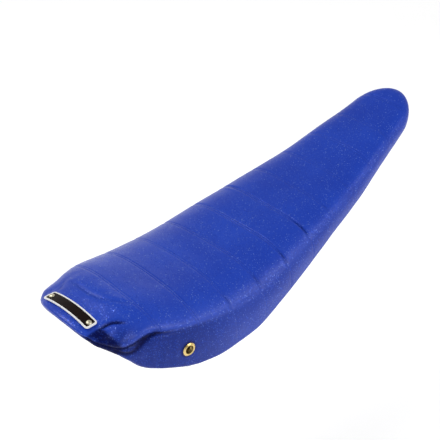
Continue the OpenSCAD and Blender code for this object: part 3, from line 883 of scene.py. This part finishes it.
def metal(name, color, shade_color, roughness, brushed=None, bump=0.05, purity=1.0):
    n = Nodes(name)
    tone = n.noise(120, detail=5)
    n.into("Base Color", n.ramp(tone.outputs["Fac"], [(0.3, shade_color), (0.65, color)]))
    smudge = n.noise(80, detail=5)
    n.into("Roughness", n.ramp(smudge.outputs["Fac"], [(0.3, (roughness,) * 3),
                                                       (0.75, (roughness + 0.14,) * 3)]))
    grain = n.noise(400, detail=3, stretch=brushed)
    n.into("Normal", n.bump(grain.outputs["Fac"], bump, 0.0004))
    n.set(n.shader, Metallic=purity)
    return n.material


def enamel():
    n = Nodes("badge_enamel")
    tone = n.noise(150, detail=3)
    n.into("Base Color", n.ramp(tone.outputs["Fac"], [(0.3, srgb(20, 10, 10)),
                                                      (0.7, srgb(30, 16, 14))]))
    dust = n.noise(700, detail=3)
    n.into("Roughness", n.ramp(dust.outputs["Fac"], [(0.4, (0.34,) * 3), (0.8, (0.5,) * 3)]))
    ripple = n.noise(90, detail=1)
    n.into("Normal", n.bump(ripple.outputs["Fac"], 0.05, 0.001))
    n.set(n.shader, Specular_IOR_Level=0.12, Coat_Weight=0.03, Coat_Roughness=0.1)
    return n.material


def give(piece, material):
    if len(piece.material_slots) == 0:
        piece.data.materials.append(material)
    for spot in piece.material_slots:
        spot.material = material


def dress(pieces):
    """Gives every visible piece the finish of its slot in the record."""
    looks = {
        "vinyl_blue": sparkle_vinyl(),
        "foam": foam_material(),
        "pan_black": painted_steel("pan_enamel", (0.012, 0.012, 0.014), (0.03, 0.03, 0.034), 0.3),
        "clip_steel": metal("spring_steel", (0.50, 0.51, 0.53), (0.36, 0.37, 0.39), 0.32),
        "brass": metal("eyelet_brass", (0.86, 0.68, 0.30), (0.70, 0.50, 0.18), 0.22),
        "badge_rim": metal("badge_nickel", (0.97, 0.97, 0.97), (0.90, 0.90, 0.90), 0.5,
                           bump=0.02, purity=0.15),
        "badge_black": enamel(),
        "rivet_brass": metal("rivet_brass", (0.84, 0.78, 0.60), (0.72, 0.66, 0.48), 0.34),
        "rail_chrome": metal("polished_chrome", (0.72, 0.73, 0.75), (0.6, 0.61, 0.63), 0.07,
                             bump=0.02),
        "plate_black": painted_steel("plate_enamel", (0.018, 0.018, 0.02), (0.04, 0.04, 0.045), 0.34),
        "zinc": metal("zinc_plate", (0.60, 0.62, 0.64), (0.44, 0.46, 0.49), 0.3,
                      brushed=(1, 8, 1)),
        "fastener": metal("fastener_steel", (0.52, 0.53, 0.56), (0.38, 0.39, 0.42), 0.28),
    }
    for part in frame["record"]["subparts"]:
        node = part["node"]
        give(pieces.get(node, frame["nodes"][node]), looks[part["material_slot"]])


# ---------------------------------------------------------------- studio
def studio():
    low = cad_box[0][2] - FLOOR_DROP
    corners = [(-1, -1), (1, -1), (1, 1), (-1, 1)]
    floor = new_object("studio_floor", [(FLOOR_REACH * x, FLOOR_REACH * y, low) for x, y in corners],
                       [(0, 1, 2, 3)])
    n = Nodes("studio_paper")
    n.into("Base Color", n.ramp(n.noise(3).outputs["Fac"], [(0.3, (0.86,) * 3), (0.7, (0.9,) * 3)]))
    n.set(n.shader, Roughness=0.9, Emission_Color=(1, 1, 1, 1), Emission_Strength=FLOOR_GLOW)
    give(floor, n.material)

    # a white horizon under a dimmer ceiling
    world = bpy.data.worlds.new("studio_world")
    bpy.context.scene.world = world
    world.use_nodes = True
    tree = world.node_tree
    direction = tree.nodes.new("ShaderNodeTexCoord")
    split = tree.nodes.new("ShaderNodeSeparateXYZ")
    fade = tree.nodes.new("ShaderNodeValToRGB")
    for element, (at, level) in zip(fade.color_ramp.elements, SKY):
        element.position = at
        element.color = (level, level, level, 1)
    tree.links.new(direction.outputs["Generated"], split.inputs[0])
    tree.links.new(split.outputs["Z"], fade.inputs["Fac"])
    tree.links.new(fade.outputs["Color"], tree.nodes["Background"].inputs["Color"])

    def area(name, at, aim, width, height, power):
        light = bpy.data.lights.new(name, "AREA")
        light.shape = "RECTANGLE"
        light.size, light.size_y = width, height
        light.energy = power
        lamp = bpy.data.objects.new(name, light)
        lamp.location = at
        lamp.rotation_euler = (Vector(aim) - Vector(at)).to_track_quat("-Z", "Y").to_euler()
        bpy.context.scene.collection.objects.link(lamp)

    middle = (-0.14, 0, 0.03)
    area("key", (-0.7, 0.7, 1.5), middle, 1.0, 0.8, KEY_POWER)
    area("fill", (0.35, -1.3, 0.9), middle, 1.1, 0.8, FILL_POWER)


def camera():
    data = bpy.data.cameras.new("camera")
    data.lens = CAMERA_LENS
    data.sensor_width = 36
    data.clip_end = 60
    eye = bpy.data.objects.new("camera", data)
    look = (CAMERA_AIM - CAMERA_PLACE).to_track_quat("-Z", "Y").to_matrix().to_4x4()
    eye.matrix_world = Matrix.Translation(CAMERA_PLACE) @ look @ Matrix.Rotation(CAMERA_ROLL, 4, "Z")
    bpy.context.scene.collection.objects.link(eye)
    bpy.context.scene.camera = eye


# ---------------------------------------------------------------- the saddle
camera()
studio()
bpy.context.scene.view_settings.view_transform = "Standard"

skin = Skin()

cover = cover_piece(skin)
cut(cover, vent_cutters(VENT_R + 1, -9, 6))
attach(cover, "saddle")
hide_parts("cover")

foam = foam_piece(skin)
cut(foam, vent_cutters(VENT_R + 1, -16, 6))
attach(foam, "saddle")
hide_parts("foam_pad")

pan = pan_piece()
cut(pan, vent_cutters(VENT_R + 0.5, -20, 3))
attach(pan, "saddle")
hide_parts("seat_pan")

dress({"cover": cover, "foam_pad": foam, "seat_pan": pan})
